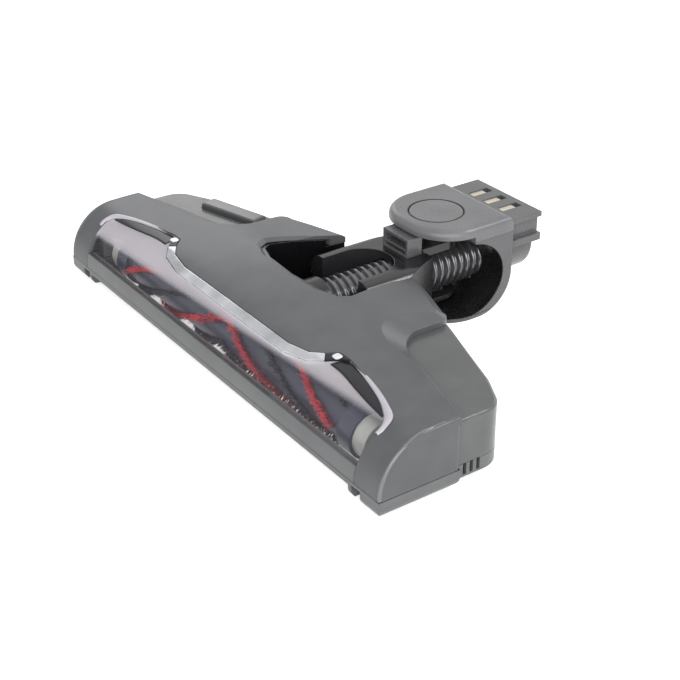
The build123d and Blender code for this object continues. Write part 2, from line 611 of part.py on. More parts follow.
# Neck fork with its collar round the hose and the two swivel tongues
NECK_PLAN = [(0, ARM_FRONT), (ARM_OUTER, ARM_FRONT), (ARM_OUTER, WAIST_START)]
NECK_PLAN += [(COLLAR_HALF, COLLAR_BACK), (0, COLLAR_BACK)]
neck_waist = plan_prism(NECK_PLAN, 0, 60, [(ARM_OUTER, WAIST_START, 20)])
with BuildPart() as neck_arm:
    with BuildSketch(Plane.XZ.offset(-fwd(ARM_FRONT))):
        with Locations((0, (NECK_BOTTOM + NECK_TOP) / 2)):
            RectangleRounded(2 * ARM_OUTER, NECK_TOP - NECK_BOTTOM, 7)
    extrude(amount=-(COLLAR_BACK - ARM_FRONT))
    rod_y(0, (60, COLLAR_BACK + 12), HOSE_Z, HOSE_R + GAP, mode=Mode.SUBTRACT)
    add(neck_waist, mode=Mode.INTERSECT)
    box_at((-ARM_INNER, ARM_INNER), (60, COLLAR_FRONT - ARM_INNER), (0, 40), mode=Mode.SUBTRACT)
    rod_z(0, COLLAR_FRONT - ARM_INNER, (0, 40), ARM_INNER, mode=Mode.SUBTRACT)
    for low, high in (TONGUE_LOW, TONGUE_HIGH):
        box_at((-TONGUE_R, TONGUE_R), (COLLAR_BACK - 2, SWIVEL_Y), (low, high))
        rod_z(0, SWIVEL_Y, (low, high), TONGUE_R)
        rod_z(0, SWIVEL_Y, (low - 1, high + 1), PIN_R + RUNNING_FIT, mode=Mode.SUBTRACT)
    rod_x((-40, 40), PITCH_Y, HOSE_Z, PIN_R + RUNNING_FIT, mode=Mode.SUBTRACT)
save(neck_arm, "neck_arm")

for name, side in [("pivot_pin_left", -1), ("pivot_pin_right", 1)]:
    with BuildPart() as pivot_pin:
        rod_x(sorted([side * (ARM_INNER + 0.7), side * PIN_REACH]), PITCH_Y, HOSE_Z, PIN_R)
    save(pivot_pin, name)

with BuildPart() as cable_box:
    inner = CABLE_BOX_HALF - CHEEK
    hollow = (CABLE_BOX_DEPTH[0] - 1, CABLE_BOX_DEPTH[1] - CHEEK)
    box_at((-CABLE_BOX_HALF, CABLE_BOX_HALF), CABLE_BOX_DEPTH, (NECK_TOP, CABLE_BOX_TOP))
    box_at((-inner, inner), hollow, (NECK_TOP + 4, CABLE_BOX_TOP - CHEEK), mode=Mode.SUBTRACT)
    box_at((-inner, inner), hollow, (NECK_TOP + 1.2, NECK_TOP + 3), mode=Mode.SUBTRACT)
save(cable_box, "cable_box")

# Swivel yoke: a C-shaped body, its cap, the pivot button and the two pins
with BuildPart() as yoke_plan:
    with BuildSketch(Plane.XY.offset(-1)):
        with Locations((0, fwd((YOKE_FRONT + YOKE_BACK) / 2))):
            Rectangle(2 * YOKE_HALF, YOKE_BACK - YOKE_FRONT)
    extrude(amount=60)
    upright = [e for e in yoke_plan.edges().filter_by(Axis.Z) if e.center().Y < fwd(SWIVEL_Y)]
    fillet(upright, YOKE_NOSE_R)
with BuildPart() as yoke_body:
    with BuildSketch(Plane.YZ) as side_view:
        with Locations((fwd((YOKE_FRONT + YOKE_BACK) / 2), CAP_SEAM_Z / 2)):
            Rectangle(YOKE_BACK - YOKE_FRONT, CAP_SEAM_Z)
        fillet(side_view.vertices().group_by(Axis.Y)[0].sort_by(Axis.X)[-1], HEEL_R)
    extrude(amount=YOKE_HALF, both=True)
    add(yoke_plan.part, mode=Mode.INTERSECT)
    with BuildSketch(Plane.YZ):
        with Locations((fwd(SWIVEL_Y), YOKE_EYE_Z)):
            Ellipse(*YOKE_EYE)
    extrude(amount=40, both=True, mode=Mode.SUBTRACT)
    box_at((-40, 40), (90, SWIVEL_Y + SWIVEL_ROOM), (YOKE_FLOOR, 60), mode=Mode.SUBTRACT)
    rod_y(0, (YOKE_BACK - 18, YOKE_BACK + 12), HOSE_Z, HOSE_R + RUNNING_FIT, mode=Mode.SUBTRACT)
    rod_z(0, SWIVEL_Y, (-1, 5), PIN_R, mode=Mode.SUBTRACT)
    rod_z(0, SWIVEL_Y, (TONGUE_HIGH[1], 60), HUB_R + RUNNING_FIT, mode=Mode.SUBTRACT)
save(yoke_body, "yoke_body")

with BuildPart() as yoke_cap:
    add(yoke_plan.part)
    box_at((-40, 40), (90, 200), (CAP_SEAM_Z, CAP_TOP), mode=Mode.INTERSECT)
    fillet(yoke_cap.faces().sort_by(Axis.Z)[-1].edges(), CAP_ROUND)
    box_at((-40, 40), (90, SWIVEL_Y + SWIVEL_ROOM), (0, CAP_UNDERCUT_Z), mode=Mode.SUBTRACT)
    rod_z(0, SWIVEL_Y, (TONGUE_HIGH[1] + GAP, CAP_UNDERCUT_Z + 1), HUB_R)
    rod_z(0, SWIVEL_Y, (CAP_TOP - BUTTON_DEPTH, 60), BUTTON_R + GAP, mode=Mode.SUBTRACT)
    rod_z(0, SWIVEL_Y, (30, 60), PIN_R, mode=Mode.SUBTRACT)
save(yoke_cap, "yoke_cap")

with BuildPart() as pivot_button:
    rod_z(0, SWIVEL_Y, (CAP_TOP - BUTTON_DEPTH, CAP_TOP), BUTTON_R)
    fillet(pivot_button.faces().sort_by(Axis.Z)[-1].edges(), 0.5)
save(pivot_button, "pivot_button")

pin_spans = [("swivel_pin_top", TONGUE_HIGH[0], CAP_TOP - BUTTON_DEPTH)]
pin_spans += [("swivel_pin_bottom", 0.4, TONGUE_LOW[1])]
for name, low, high in pin_spans:
    with BuildPart() as swivel_pin:
        rod_z(0, SWIVEL_Y, (low, high), PIN_R)
    save(swivel_pin, name)

# Wand connector with its air bore and three contacts
contact_slot = (CONTACT_DEPTH[0], CONTACT_SLOT_END)
with BuildPart() as connector:
    spigot = (YOKE_BACK, OVERALL_LENGTH)
    box_at((-SPIGOT_HALF, SPIGOT_HALF), spigot, (SPIGOT_LIP, SPIGOT_TOP))
    box_at((-SPIGOT_WAIST, SPIGOT_WAIST), spigot, (SPIGOT_LOW, SPIGOT_LIP))
    box_at((-SPIGOT_HALF, SPIGOT_HALF), spigot, (SPIGOT_LOW, SPIGOT_RIB))
    rod_y(0, (YOKE_BACK, OVERALL_LENGTH), TUBE_Z, TUBE_R)
    rod_y(0, (YOKE_BACK + 3, OVERALL_LENGTH + 1), TUBE_Z, TUBE_BORE, mode=Mode.SUBTRACT)
    rod_y(0, (YOKE_BACK - 1, YOKE_BACK + 4), HOSE_Z + 2, HOSE_BORE, mode=Mode.SUBTRACT)
    for x in CONTACT_X:
        box_at((x - CONTACT_HALF, x + CONTACT_HALF), contact_slot, (CONTACT_FLOOR, 50), mode=Mode.SUBTRACT)
save(connector, "connector")

with BuildPart() as contacts:
    for x in CONTACT_X:
        box_at((x - CONTACT_HALF, x + CONTACT_HALF), CONTACT_DEPTH, (CONTACT_FLOOR, CONTACT_TOP))
save(contacts, "contacts")

# Wheels and rollers with their axles, and the glide pads of the end feet
for name, side in [("left", -1), ("right", 1)]:
    span = sorted([side * (WHEEL_X - WHEEL_WIDTH / 2), side * (WHEEL_X + WHEEL_WIDTH / 2)])
    with BuildPart() as rear_wheel:
        rod_x(span, WHEEL_Y, WHEEL_R, WHEEL_R)
        rod_x(span, WHEEL_Y, WHEEL_R, AXLE_R + RUNNING_FIT, mode=Mode.SUBTRACT)
    save(rear_wheel, f"rear_wheel_{name}")

    with BuildPart() as rear_axle:
        rod_x(sorted([side * (WHEEL_X - AXLE_HALF), side * (WHEEL_X + AXLE_HALF)]), WHEEL_Y, WHEEL_R, AXLE_R)
    save(rear_axle, f"rear_axle_{name}")

    span = sorted([side * (ROLLER_X - ROLLER_WIDTH / 2), side * (ROLLER_X + ROLLER_WIDTH / 2)])
    with BuildPart() as front_roller:
        rod_x(span, ROLLER_Y, ROLLER_Z, ROLLER_R)
        rod_x(span, ROLLER_Y, ROLLER_Z, AXLE_R / 2 + RUNNING_FIT, mode=Mode.SUBTRACT)
    save(front_roller, f"front_roller_{name}")

    with BuildPart() as front_axle:
        reach = ROLLER_POCKET + CHEEK
        rod_x(sorted([side * (ROLLER_X - reach), side * (ROLLER_X + reach)]), ROLLER_Y, ROLLER_Z, AXLE_R / 2)
    save(front_axle, f"front_axle_{name}")

    with BuildPart() as glide_pad:
        box_at(sorted([side * PAD_IN, side * (HALF_BAR - SOLE_ROUND - 0.5)]), PAD_DEPTH, (0, SOLE_Z))
    save(glide_pad, f"glide_pad_{name}")

# Pedal on the left wing with the spring below it
with BuildPart() as pedal:
    with Locations((pedal_x, fwd(pedal_y), (PEDAL_BOTTOM + PEDAL_TOP) / 2)):
        Box(*PEDAL_SIZE, PEDAL_TOP - PEDAL_BOTTOM, rotation=(0, 0, PEDAL_ANGLE))
    fillet(pedal.faces().sort_by(Axis.Z)[-1].edges(), 1.2)
save(pedal, "pedal")

with BuildPart() as pedal_spring:
    free_length = PEDAL_BOTTOM - PEDAL_POST_TOP
    pitch = (free_length - 2 * SPRING_WIRE) / SPRING_TURNS
    with BuildLine(Plane(origin=(pedal_x, fwd(pedal_y), PEDAL_POST_TOP + SPRING_WIRE))):
        path = Helix(pitch, pitch * SPRING_TURNS, SPRING_R)
    with BuildSketch(Plane(origin=path @ 0, z_dir=path % 0)):
        Circle(SPRING_WIRE)
    sweep(is_frenet=True)
save(pedal_spring, "pedal_spring")

# Screws from below hold the base to the middle housing
with BuildPart() as screws:
    for x, y in SCREWS:
        rod_z(x, y, (SCREW_SEAT, SCREW_TIP), SCREW_R)
        rod_z(x, y, (SCREW_SEAT - 1.5, SCREW_SEAT), SCREW_HEAD_R)
save(screws, "screws")
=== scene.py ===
import math
import random

import bpy
from mathutils import Matrix, Vector


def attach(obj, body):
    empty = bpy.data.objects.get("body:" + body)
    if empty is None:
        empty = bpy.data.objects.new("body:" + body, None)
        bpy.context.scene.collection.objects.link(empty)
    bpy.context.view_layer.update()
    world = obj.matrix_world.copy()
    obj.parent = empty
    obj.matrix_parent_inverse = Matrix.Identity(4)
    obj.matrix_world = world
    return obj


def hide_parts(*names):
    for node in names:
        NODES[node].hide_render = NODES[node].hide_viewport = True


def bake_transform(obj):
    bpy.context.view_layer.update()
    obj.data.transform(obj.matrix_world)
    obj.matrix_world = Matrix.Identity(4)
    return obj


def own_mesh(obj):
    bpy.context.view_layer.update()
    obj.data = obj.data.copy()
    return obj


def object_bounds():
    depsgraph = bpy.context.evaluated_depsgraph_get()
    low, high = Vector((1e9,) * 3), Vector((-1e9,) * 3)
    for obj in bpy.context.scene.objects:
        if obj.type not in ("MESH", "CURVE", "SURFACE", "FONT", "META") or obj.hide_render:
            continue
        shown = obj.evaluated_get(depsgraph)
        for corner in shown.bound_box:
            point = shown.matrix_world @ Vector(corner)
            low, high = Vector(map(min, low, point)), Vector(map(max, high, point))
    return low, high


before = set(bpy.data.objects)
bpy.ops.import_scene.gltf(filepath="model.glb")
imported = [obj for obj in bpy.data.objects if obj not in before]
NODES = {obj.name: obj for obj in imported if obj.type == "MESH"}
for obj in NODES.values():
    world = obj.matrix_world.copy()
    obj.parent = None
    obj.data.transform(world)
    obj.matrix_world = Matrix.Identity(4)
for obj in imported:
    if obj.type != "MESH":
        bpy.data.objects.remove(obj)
CAD_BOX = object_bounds()
MM = 0.001
SIDES = {"left": -1, "right": 1}

# Places shared with the solid model, in millimetres, with y measured back from the front edge
FRONT = CAD_BOX[0][1] / MM
END_X = CAD_BOX[1][0] / MM
BAR_R, SEAM_Z = 25.0, 9.0
ROLL_Y, ROLL_Z = 20.5, 15.5
CORE_R, TIP_R = 9.5, 14.2
BRISTLE_HALF = 91.0
HOSE_Z, HOSE_R = 19.0, 11.0
SWIVEL_Y = 131.5
EYE_Z, EYE_HALF_Y, EYE_HALF_Z, EYE_FLOOR = 21.0, 21.0, 19.0, 2.0
SPRING_AT, SPRING_BASE, SPRING_TOP = (-88.0, 70.5), 12.0, 25.0

# Filaments, in millimetres, with the start of each helical row and its twist in degrees
ROW_INSET, DARK_SHORTER = 3.0, 1.0
ROW_HALF, DARK_TIP_R = BRISTLE_HALF - ROW_INSET, TIP_R - DARK_SHORTER
RED_STARTS, DARK_STARTS = (0, 120, 240), (60, 180, 300)
TUFT_STEP, TUFT_STRANDS = 5.0, 26
TWIST_PER_MM = 2.0
FILAMENT_R, FILAMENT_SIDES, TIP_SHARE = 0.26, 3, 0.5

# Random spread of the filaments: millimetres, but degrees for the angle and radians for the lean
BRISTLE_SEED = 7
SPREAD_X, SPREAD_REACH, SPREAD_SWAY = 0.6, 0.9, 0.5
SPREAD_ANGLE, SPREAD_LEAN = 3.0, 0.06

# Hoses: ends and bending stretch of each, the wire's pitch and relief, and the mesh's fineness
FRONT_HOSE, FRONT_BEND = (60, 109), (66, 102)
REAR_HOSE, REAR_BEND = (109, 152), (118, 146)
HOSE_PITCH, HOSE_DEPTH, HOSE_BULGE = 4.0, 1.2, 0.75
HOSE_AROUND, HOSE_ROW = 40, 0.28

# Pedal coil
SPRING_R, SPRING_WIRE, SPRING_TURNS = 3.0, 0.5, 5
SPRING_AROUND, SPRING_PER_TURN = 10, 28

# Trim at the window's ends, as plan points of the right side
RIM_OUT = [
    (71, 30.4), (78, 30.0), (97, 25.6), (108.5, 22.0), (116.6, 18.4), (119, 12.8), (118.4, 9.6),
]
RIM_IN = [
    (71.5, 28.4), (79, 27.5), (95.8, 23.2), (106.3, 19.7), (113.4, 16.0), (116.0, 12.8), (116.2, 9.6),
]
WEDGE_OUT = [(71.5, 28.6), (79.2, 27.7), (92, 24.5), (103, 21.0), (113.2, 16.2)]
WEDGE_IN = [(70, 20.9), (78.6, 20.5), (90.7, 18.4), (102.3, 16.6), (112.6, 15.5)]
STRIP_STEPS, STRIP_ACROSS = 60, 8
STRIP_LIFT, RIM_CROWN, WEDGE_CROWN = 0.3, 0.7, 0.0

# Bead along the bar's end edges, a rounded edge coloured lighter than the cover as painted highlight: flush
# at the seam, and fully proud END_RUN degrees further up the arc
END_BACK, END_BEAD_R, END_PROUD, END_RUN = 39.6, 0.9, 0.25, 40.0
BEAD_AROUND, BEAD_STEPS = 12, 48

# Lamp lenses: squarish rings of a scale and a height each
LENS_AT, LENS_HALF = (68.6, 25.5, 35.2), 1.9
LENS_RINGS = ((1.0, 0.0), (1.0, 0.5), (0.8, 0.8))
LENS_CORNERS, LENS_SQUARENESS = 16, 0.8

# Surface texture: noise in features per metre, the used band of its values, and relief in metres
NOISE_LOW, NOISE_HIGH = 0.3, 0.7
CLOUD_SCALE, CLOUD_DETAIL, FINE_DETAIL = 60.0, 3.0, 2.0
GLOSS_SPREAD = 0.12
RELIEF_DEPTH = 0.05 * MM
EDGE_ROUND, EDGE_SAMPLES = 0.6 * MM, 8
GLOSSY = {"grain": 420.0, "relief": 0.03}
SATIN = {"grain": 420.0, "relief": 0.04}
STEEL_SCALE, STEEL_DETAIL, STEEL_DARK, STEEL_GLOSS = 900.0, 4.0, 0.85, (0.8, 1.25)

# Clear window: its pale band, a painted reflection, goes from one height, in millimetres, and opacity to
# another
WINDOW_SCALE, WINDOW_DEEP, WINDOW_ROUGHNESS = 45.0, 0.93, (0.03, 0.07)
WINDOW_IOR, WINDOW_SHEEN = 1.46, 0.2
REFLECTION_LOW, REFLECTION_HIGH, REFLECTION_SLANT = (27.8, 0.03), (29.8, 0.52), 0.028

# Painted darks: painted shade across the notch, dark ring round the pivot button, painted shade inside the
# yoke, dark seam of the head
NOTCH_SHADE_HALF, SEAM_HALF = 36.0, 0.22
RING_IN, RING_OUT = 12.8, 14.0
EYE_EDGE = 1.03
RING_BLACK = (0.004, 0.004, 0.004)
EYE_PAINTED_SHADE = (0.010, 0.010, 0.011)
SEAM_BLACK = (0.006, 0.006, 0.006)

# Colours used more than once; the black is the duct and belt's own colour, and is also painted as shade
# across the notch
YOKE_GREY = (0.110, 0.111, 0.115)
INNER_BLACK_AND_NOTCH_SHADE = (0.006, 0.006, 0.007)

# Stage, in metres and watts; a soft light has its place, the height it aims at, its size and its power
WHITE, FLOOR_COLOUR = (1, 1, 1, 1), (0.95, 0.95, 0.95, 1)
FLOOR_HALF, FLOOR_PALE, FLOOR_ROUGHNESS = 3.0, 0.62, 0.9
WORLD_FILL, WORLD_SEEN = 0.42, 1.0
SOFT_LIGHTS = {
    "softbox_top": ((-0.25, 0.25, 0.9), 0.0, (0.9, 0.7), 0.8),
    "softbox_back": ((-0.2, 1.0, 0.45), 0.02, (0.8, 0.3), 1.5),
    "softbox_left": ((-0.76, 0.22, 0.45), 0.03, (0.35, 0.3), 0.6),
    "softbox_right": ((0.55, 0.56, 0.80), 0.02, (0.3, 0.3), 3.0),
    "softbox_front": ((0.95, -0.71, 0.52), 0.03, (1.8, 1.0), 15.0),
}

# Camera fitted to the photograph: lens in millimetres, place in metres, roll in degrees
SENSOR_WIDTH, FOCAL_LENGTH = 36.0, 75.41
CAMERA_PLACE = (0.48722, -0.35519, 0.33132)
CAMERA_LOOK = (-0.71339, 0.49934, -0.49166)
CAMERA_ROLL = -0.17


def at(x, y, z):
    """Point in metres from millimetres, y measured back from the front edge."""
    return Vector((x * MM, (y + FRONT) * MM, z * MM))


# Shader helpers

def new_material(name):
    """New material with its node tree and its shader."""
    material = bpy.data.materials.new(name)
    material.use_nodes = True
    tree = material.node_tree
    return material, tree, tree.nodes["Principled BSDF"]


def set_inputs(node, values):
    """Fixed values for a node's inputs, by name."""
    for name, value in values.items():
        node.inputs[name].default_value = value


def math_node(tree, operation, first, second=0.0):
    """Result of a math node on two values, each a number or a socket."""
    node = tree.nodes.new("ShaderNodeMath")
    node.operation = operation
    for socket, value in zip(node.inputs, (first, second)):
        if isinstance(value, (int, float)):
            socket.default_value = value
        else:
            tree.links.new(value, socket)
    return node.outputs["Value"]


def coordinate(tree, axis):
    """One coordinate of the surface in the object's own frame."""
    coords = tree.nodes.new("ShaderNodeTexCoord")
    split = tree.nodes.new("ShaderNodeSeparateXYZ")
    tree.links.new(coords.outputs["Object"], split.inputs["Vector"])
    return split.outputs[axis]


def noise(tree, scale, detail):
    """Noise in object space at features per metre."""
    coords = tree.nodes.new("ShaderNodeTexCoord")
    texture = tree.nodes.new("ShaderNodeTexNoise")
    set_inputs(texture, {"Scale": scale, "Detail": detail})
    tree.links.new(coords.outputs["Object"], texture.inputs["Vector"])
    return texture.outputs["Fac"]


def ramp(tree, source, low, high):
    """Colour between low and high over the used band of a noise."""
    node = tree.nodes.new("ShaderNodeValToRGB")
    first, last = node.color_ramp.elements
    first.position, last.position = NOISE_LOW, NOISE_HIGH
    first.color, last.color = (*low, 1), (*high, 1)
    tree.links.new(source, node.inputs["Fac"])
    return node.outputs["Color"]


def spread(tree, source, low, high):
    """Value between low and high over the used band of a noise."""
    node = tree.nodes.new("ShaderNodeMapRange")
    set_inputs(node, {"From Min": NOISE_LOW, "From Max": NOISE_HIGH, "To Min": low, "To Max": high})
    tree.links.new(source, node.inputs["Value"])
    return node.outputs["Result"]


def bump(tree, shader, source, strength):
    """Fine relief over normals that are rounded a little at the edges."""
    edge = tree.nodes.new("ShaderNodeBevel")
    edge.samples = EDGE_SAMPLES
    set_inputs(edge, {"Radius": EDGE_ROUND})
    node = tree.nodes.new("ShaderNodeBump")
    set_inputs(node, {"Strength": strength, "Distance": RELIEF_DEPTH})
    tree.links.new(edge.outputs["Normal"], node.inputs["Normal"])
    tree.links.new(source, node.inputs["Height"])
    tree.links.new(node.outputs["Normal"], shader.inputs["Normal"])


# Materials

def moulded(name, colour, roughness, grain=2200.0, vary=0.10, metallic=0.0, relief=0.12, sheen=0.5):
    """Moulded plastic: fine texture, slight colour variation and uneven gloss."""
    material, tree, shader = new_material(name)
    cloud = noise(tree, CLOUD_SCALE, CLOUD_DETAIL)
    fine = noise(tree, grain, FINE_DETAIL)
    low = [c * (1 - vary) for c in colour]
    high = [c * (1 + vary) for c in colour]
    gloss = spread(tree, fine, roughness * (1 - GLOSS_SPREAD), roughness * (1 + GLOSS_SPREAD))
    tree.links.new(ramp(tree, cloud, low, high), shader.inputs["Base Color"])
    tree.links.new(gloss, shader.inputs["Roughness"])
    set_inputs(shader, {"Metallic": metallic, "Specular IOR Level": sheen})
    bump(tree, shader, fine, relief)
    return material


def metal(name, colour, roughness):
    """Ground metal with a finely uneven shine."""
    material, tree, shader = new_material(name)
    ground = noise(tree, STEEL_SCALE, STEEL_DETAIL)
    low = [c * STEEL_DARK for c in colour]
    gloss = spread(tree, ground, *(roughness * share for share in STEEL_GLOSS))
    tree.links.new(ramp(tree, ground, low, colour), shader.inputs["Base Color"])
    tree.links.new(gloss, shader.inputs["Roughness"])
    set_inputs(shader, {"Metallic": 1.0})
    return material


def clear_plastic(name, tint):
    """Clear window plastic, with a pale band of painted reflection above a slightly slanted line and clear
    below it.
    """
    material, tree, shader = new_material(name)
    cloud = noise(tree, WINDOW_SCALE, CLOUD_DETAIL)
    deep = [c * WINDOW_DEEP for c in tint]
    tree.links.new(ramp(tree, cloud, deep, tint), shader.inputs["Base Color"])
    tree.links.new(spread(tree, cloud, *WINDOW_ROUGHNESS), shader.inputs["Roughness"])
    set_inputs(shader, {"IOR": WINDOW_IOR, "Specular IOR Level": WINDOW_SHEEN})
    # Painted reflection: a pale, more opaque band over the window's upper part
    slant = math_node(tree, "MULTIPLY", coordinate(tree, "X"), REFLECTION_SLANT)
    height = math_node(tree, "SUBTRACT", coordinate(tree, "Z"), slant)
    painted_reflection = tree.nodes.new("ShaderNodeMapRange")
    painted_reflection.interpolation_type = "SMOOTHSTEP"
    set_inputs(painted_reflection, {"From Min": REFLECTION_LOW[0] * MM, "From Max": REFLECTION_HIGH[0] * MM})
    set_inputs(painted_reflection, {"To Min": REFLECTION_LOW[1], "To Max": REFLECTION_HIGH[1]})
    tree.links.new(height, painted_reflection.inputs["Value"])
    tree.links.new(painted_reflection.outputs["Result"], shader.inputs["Alpha"])
    return material


COVER = moulded("cover_satin_grey", (0.104, 0.107, 0.113), 0.34, sheen=0.3)
WING = moulded("wing_gloss_grey_notch_shade", (0.112, 0.114, 0.116), 0.24, sheen=0.4, **GLOSSY)
PEDAL = moulded("pedal_gloss_grey", (0.100, 0.102, 0.106), 0.20, **GLOSSY)
BASE = moulded("base_dark_grey", (0.120, 0.124, 0.126), 0.36)
YOKE = moulded("yoke_satin_grey", YOKE_GREY, 0.26, **SATIN)
SHELL = moulded("yoke_shell_grey_eye_shade", YOKE_GREY, 0.26, **SATIN)
CAP = moulded("cap_satin_grey", (0.165, 0.166, 0.172), 0.30, **SATIN)
NECK = moulded("neck_gloss_black", (0.022, 0.022, 0.024), 0.20, **GLOSSY)
BLACK = moulded("inner_black", INNER_BLACK_AND_NOTCH_SHADE, 0.30, **GLOSSY)
RUBBER = moulded("hose_rubber", (0.170, 0.170, 0.178), 0.15, grain=900.0, metallic=0.7, relief=0.03)
TYRE = moulded("tyre_rubber", (0.016, 0.016, 0.018), 0.55, grain=900.0)
ROLLER = moulded("roller_slate", (0.030, 0.036, 0.062), 0.42)
ROLL_END = moulded("roll_end_pale", (0.48, 0.49, 0.46), 0.35)
BOARD = moulded("board_green", (0.010, 0.075, 0.035), 0.4)
FELT = moulded("felt_black", (0.016, 0.016, 0.018), 0.95, grain=3000.0, vary=0.3, relief=0.6)
LIGHT_BAR = moulded("light_bar_silver", (0.48, 0.49, 0.51), 0.12, metallic=0.8, vary=0.25, relief=0.03)
LAMP = moulded("lamp_block", (0.020, 0.020, 0.024), 0.20, sheen=0.2)
CREAM = moulded("contact_cream", (0.66, 0.60, 0.48), 0.32, metallic=0.3)
RED = moulded("bristle_red", (0.70, 0.030, 0.050), 0.42, grain=1500.0, vary=0.30)
DARK = moulded("bristle_dark", (0.020, 0.022, 0.036), 0.45, grain=1500.0, vary=0.4)
STEEL = metal("ground_steel", (0.55, 0.55, 0.57), 0.28)
CLEAR = clear_plastic("window_clear", (0.80, 0.76, 0.82))
# The end beads are lighter than the cover they round off: painted highlight
EDGE_HIGHLIGHT = moulded("edge_grey_painted_highlight", (0.170, 0.174, 0.182), 0.20, metallic=0.3, relief=0.02)
RIM = moulded("window_rim", (0.56, 0.53, 0.59), 0.14, relief=0.02)
GLOW = moulded("lamp_lens", (0.82, 0.82, 0.84), 0.12, relief=0.02)


# Painted darks: dark joints, and painted shade in the notch and inside the yoke

def from_level(tree, axis, level):
    """Signed distance along an axis from a level given in millimetres."""
    return math_node(tree, "SUBTRACT", coordinate(tree, axis), level * MM)


def within(tree, axis, level, half):
    """1 on the surface less than half away from a level, both in millimetres."""
    distance = math_node(tree, "ABSOLUTE", from_level(tree, axis, level))
    return math_node(tree, "LESS_THAN", distance, half * MM)


def squared(tree, value):
    """Square of a value of either sign."""
    return math_node(tree, "POWER", math_node(tree, "ABSOLUTE", value), 2.0)


def ring_mask(tree):
    """1 on the ring where the pivot button meets its cap."""
    x = squared(tree, coordinate(tree, "X"))
    y = squared(tree, from_level(tree, "Y", SWIVEL_Y + FRONT))
    radius = math_node(tree, "SQRT", math_node(tree, "ADD", x, y))
    outside = math_node(tree, "GREATER_THAN", radius, RING_IN * MM)
    inside = math_node(tree, "LESS_THAN", radius, RING_OUT * MM)
    return math_node(tree, "MULTIPLY", outside, inside)


def eye_shade_mask(tree):
    """1 on the wall of the yoke's oval eye and on the floor inside the yoke, where shade is painted."""
    from_axis = from_level(tree, "Y", SWIVEL_Y + FRONT)
    from_middle = from_level(tree, "Z", EYE_Z)
    y = squared(tree, math_node(tree, "DIVIDE", from_axis, EYE_HALF_Y * MM))
    z = squared(tree, math_node(tree, "DIVIDE", from_middle, EYE_HALF_Z * MM))
    in_eye = math_node(tree, "LESS_THAN", math_node(tree, "ADD", y, z), EYE_EDGE)
    return math_node(tree, "MAXIMUM", in_eye, within(tree, "Z", EYE_FLOOR, SEAM_HALF))


def dark_where(material, mask, colour):
    """Second colour of a moulding wherever the mask is 1, used for dark joints and for painted shade."""
    tree = material.node_tree
    shader = tree.nodes["Principled BSDF"]
    mix = tree.nodes.new("ShaderNodeMix")
    mix.data_type = "RGBA"
    before = shader.inputs["Base Color"].links[0].from_socket
    tree.links.new(mask, mix.inputs["Factor"])
    tree.links.new(before, mix.inputs["A"])
    mix.inputs["B"].default_value = (*colour, 1)
    tree.links.new(mix.outputs["Result"], shader.inputs["Base Color"])


# Painted shade: black across the notch in the middle of the mid housing
dark_where(WING, within(WING.node_tree, "X", 0.0, NOTCH_SHADE_HALF), INNER_BLACK_AND_NOTCH_SHADE)
dark_where(CAP, ring_mask(CAP.node_tree), RING_BLACK)
# Painted shade: black on the wall of the yoke's eye and on the floor inside the yoke
dark_where(SHELL, eye_shade_mask(SHELL.node_tree), EYE_PAINTED_SHADE)
for shell in (COVER, BASE):
    dark_where(shell, within(shell.node_tree, "Z", SEAM_Z, SEAM_HALF), SEAM_BLACK)

# Finishes of the solid model's nodes, with steel for those not named
FINISHES = {
    COVER: ["top_cover"],
    WING: ["mid_housing"],
    PEDAL: ["pedal"],
    BASE: ["base_housing", "front_bumper"],
    YOKE: ["cable_box", "connector"],
    SHELL: ["yoke_body"],
    CAP: ["yoke_cap", "pivot_button"],
    NECK: ["neck_arm"],
    BLACK: ["suction_duct", "belt"],
    CLEAR: ["window"],
    LIGHT_BAR: ["light_strip"],
    LAMP: ["lamp_left", "lamp_right"],
    ROLLER: ["roller_core", "roller_pulley", "motor_pulley"],
    ROLL_END: ["roller_cap_left", "roller_cap_right"],
    TYRE: ["rear_wheel_left", "rear_wheel_right", "front_roller_left", "front_roller_right"],
    FELT: ["glide_pad_left", "glide_pad_right"],
    BOARD: ["control_board"],
    CREAM: ["contacts"],
}
named_nodes = {node for nodes in FINISHES.values() for node in nodes}
FINISHES[STEEL] = [node for node in NODES if node not in named_nodes]
for finish, finished_nodes in FINISHES.items():
    for finished in finished_nodes:
        NODES[finished].data.materials.clear()
        NODES[finished].data.materials.append(finish)


# Mesh helpers

def mesh_piece(name, points, faces, material, smooth=True):
    """New object in the scene from points, faces and one material."""
    mesh = bpy.data.meshes.new(name)
    mesh.from_pydata([tuple(p) for p in points], [], faces)
    mesh.materials.append(material)
    if smooth:
        mesh.shade_smooth()
    piece = bpy.data.objects.new(name, mesh)
    bpy.context.scene.collection.objects.link(piece)
    return piece


def tube_faces(rings, around, closed=True):
    """Quads between rings of points that follow one another, with a face on each end where closed."""
    faces = []
    for ring in range(rings - 1):
        for step in range(around):
            a = ring * around + step
            b = ring * around + (step + 1) % around
            faces.append((a, a + around, b + around, b))
    if closed:
        last = (rings - 1) * around
        faces += [tuple(range(around)), tuple(range(last, last + around))[::-1]]
    return faces


def flipped(faces):
    """The same faces turned to their other side."""
    return [face[::-1] for face in faces]


# Brush roll

def on_roll(x, radius, angle):
    """Point at a radius and an angle about the roll's axis."""
    return at(x, ROLL_Y + radius * math.cos(angle), ROLL_Z + radius * math.sin(angle))


